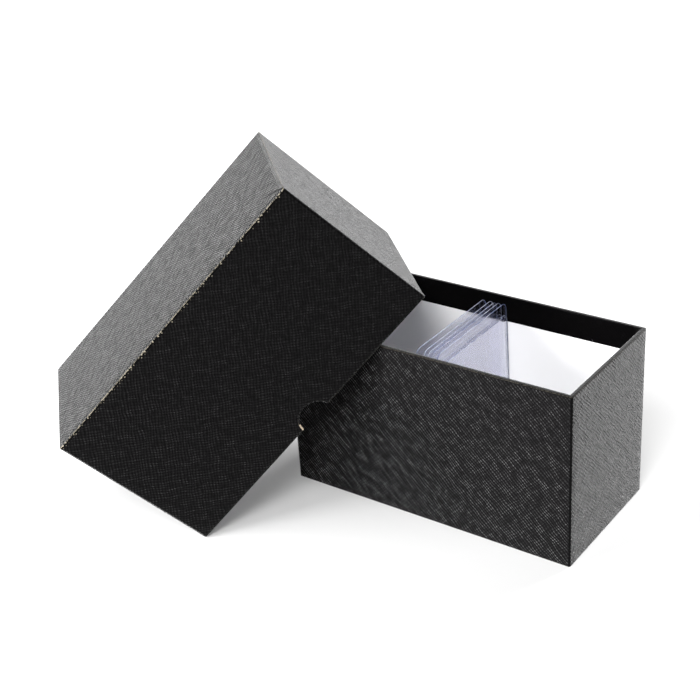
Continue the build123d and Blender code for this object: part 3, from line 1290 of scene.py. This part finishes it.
    def build(self) -> None:
        """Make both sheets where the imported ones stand."""
        for part, pocket in (("back_sheet", 0.0), ("front_sheet", self.pocket)):
            node = f"{self.body}_{part}"
            place = self.place_of(node)
            mesh = self.sheet_mesh(f"{node}_mesh", place.length, place.width, pocket)
            foot = place.middle - place.across * place.width / 2
            mesh.transform(replace(place, middle=foot).matrix)
            point_outwards(mesh)
            finish_piece(f"{self.body}_clear_{part}", mesh, self.body, [node])


# -------------------------------------------------------------------------------------- studio
@dataclass(frozen=True)
class Lamp:
    """A soft square lamp, aimed at the box."""

    name: str
    towards: tuple[float, float, float]
    side: float
    watts: float
    distance: float = 1.3

    def hang(self, aim: Vector) -> None:
        """Put the lamp in the scene."""
        data = bpy.data.lights.new(self.name, "AREA")
        data.shape = "RECTANGLE"
        data.size = data.size_y = self.side
        data.energy = self.watts
        lamp = in_scene(self.name, data)
        way = Vector(self.towards).normalized()
        lamp.location = aim + way * self.distance
        lamp.rotation_euler = way.to_track_quat("Z", "Y").to_euler()


@dataclass(frozen=True)
class Studio:
    """The camera, the floor, the backdrop and the lamps."""

    lens_mm: float = 72.39
    camera_place: tuple[float, float, float] = (0.3799, -0.6117, 0.4728)
    heading: float = radians(37.03)
    pitch: float = radians(90.0 - 27.71)
    roll: float = radians(-3.924)
    floor_half: float = 4.0
    floor_tone: float = 0.47
    tone_spread: float = 0.01
    cloud_size: float = 0.4
    cloud_span: Span = (0.3, 0.7)
    floor_lift: float = 0.10
    far_lift: float = 0.90
    near: tuple[float, float] = (0.32, 0.80)
    fill: float = 0.15
    clear_layers: int = 64
    aim: tuple[float, float, float] = (-0.05, -0.04, 0.07)
    lamps: tuple[Lamp, ...] = (
        Lamp("high_front_softbox", (0.28, -0.72, 0.75), 0.45, 20.0),
        Lamp("low_left_softbox", (-1.00, 0.25, 0.15), 0.8, 6.2),
        Lamp("low_back_softbox", (-0.30, 0.94, 0.15), 0.8, 3.2),
        Lamp("right_back_softbox", (0.30, 0.92, 0.22), 0.5, 56.0),
        Lamp("low_front_softbox", (-0.62, -0.76, 0.14), 0.8, 96.0),
    )

    def camera(self) -> None:
        """Stand the camera where the photograph was taken from."""
        data = bpy.data.cameras.new("camera")
        data.lens = self.lens_mm
        camera = in_scene("camera", data)
        turn = Matrix.Rotation(self.heading, 4, "Z") @ Matrix.Rotation(self.pitch, 4, "X")
        camera.matrix_world = (
            Matrix.Translation(self.camera_place) @ turn @ Matrix.Rotation(self.roll, 4, "Z")
        )
        bpy.context.scene.camera = camera

    @staticmethod
    def seen_ray(graph: Graph) -> Socket:
        """Return 1 for what the camera sees straight, mirrored or through a clear sheet."""
        rays = graph.node("ShaderNodeLightPath").outputs
        mirrored = graph.number("MAXIMUM", rays["Is Glossy Ray"], rays["Is Transmission Ray"])
        return graph.number("MAXIMUM", rays["Is Camera Ray"], mirrored)

    def floor(self) -> None:
        """Lay the pale floor, which shows white where no shadow falls."""
        half = self.floor_half
        mesh = bpy.data.meshes.new("studio_floor")
        corners = [(-half, -half, 0.0), (half, -half, 0.0), (half, half, 0.0), (-half, half, 0.0)]
        mesh.from_pydata(corners, [], [(0, 1, 2, 3)])
        material = bpy.data.materials.new("studio_floor_paper")
        material.use_nodes = True
        material.node_tree.nodes.clear()
        graph = Graph(material.node_tree)
        place = graph.node("ShaderNodeTexCoord").outputs["Object"]
        cloud = graph.fitted(graph.noise(place, self.cloud_size), self.cloud_span)
        low, high = self.floor_tone - self.tone_spread, self.floor_tone + self.tone_spread
        colour = graph.blend(cloud, grey(low), grey(high))
        matt = graph.node("ShaderNodeBsdfDiffuse", {"Color": colour}).outputs[0]
        away = graph.node("ShaderNodeVectorMath", {0: place}, operation="LENGTH").outputs["Value"]
        lift = graph.fitted(away, self.near, self.floor_lift, self.far_lift)
        strength = graph.times(self.seen_ray(graph), lift)
        glow = graph.node("ShaderNodeEmission", {"Strength": strength}).outputs[0]
        both = graph.node("ShaderNodeAddShader", {0: matt, 1: glow}).outputs[0]
        graph.node("ShaderNodeOutputMaterial", {"Surface": both})
        mesh.materials.append(material)
        in_scene("studio_floor", mesh)

    def backdrop(self) -> None:
        """Light the box softly from all round, before a white backdrop."""
        world = bpy.data.worlds.new("studio")
        bpy.context.scene.world = world
        world.use_nodes = True
        world.node_tree.nodes.clear()
        graph = Graph(world.node_tree)
        fill = graph.node("ShaderNodeBackground", {"Color": WHITE, "Strength": self.fill}).outputs[0]
        white = graph.node("ShaderNodeBackground", {"Color": WHITE, "Strength": 1.0}).outputs[0]
        mixed = graph.mixed(self.seen_ray(graph), fill, white)
        graph.node("ShaderNodeOutputWorld", {"Surface": mixed})

    def build(self) -> None:
        """Set the whole studio."""
        self.camera()
        self.floor()
        self.backdrop()
        for lamp in self.lamps:
            lamp.hang(Vector(self.aim))
        bpy.context.scene.view_settings.view_transform = "Standard"
        bpy.context.scene.cycles.transparent_max_bounces = self.clear_layers


def tray_place() -> BoxPlace:
    """Measure the tray, whose axes are the frame's."""
    axes = (Vector((1, 0, 0)), Vector((0, 1, 0)), Vector((0, 0, 1)))
    return BoxPlace.of_nodes(*axes, ["tray_wall_wrap", "tray_floor_sheet"])


def lid_place() -> BoxPlace:
    """Measure the lid as it is put down: its rim looks the opposite way to its slide."""
    slide = next(Vector(joint["axis"]) for joint in frame["joints"] if joint["child"] == "lid")
    inward = -slide.normalized()
    across = UP.cross(slide).normalized()
    return BoxPlace.of_nodes(across.cross(inward), across, inward, ["lid_wall_wrap", "lid_top_sheet"])


def main() -> None:
    """Set the studio, then build the tray, the lid and the sleeves."""
    logging.basicConfig(level=logging.INFO, format="%(name)s %(message)s")
    Studio().build()
    layer = PaperLayer()
    SetUpBox("tray", "floor", tray_place(), layer, Side.MINUS, (-1, 1)).build()
    Lid("lid", "top", lid_place(), layer, Side.PLUS, (1, 1), seed=2.0).build()
    for number in range(1, SLEEVES + 1):
        Sleeve(number).build()


if __name__ == "__main__":
    main()
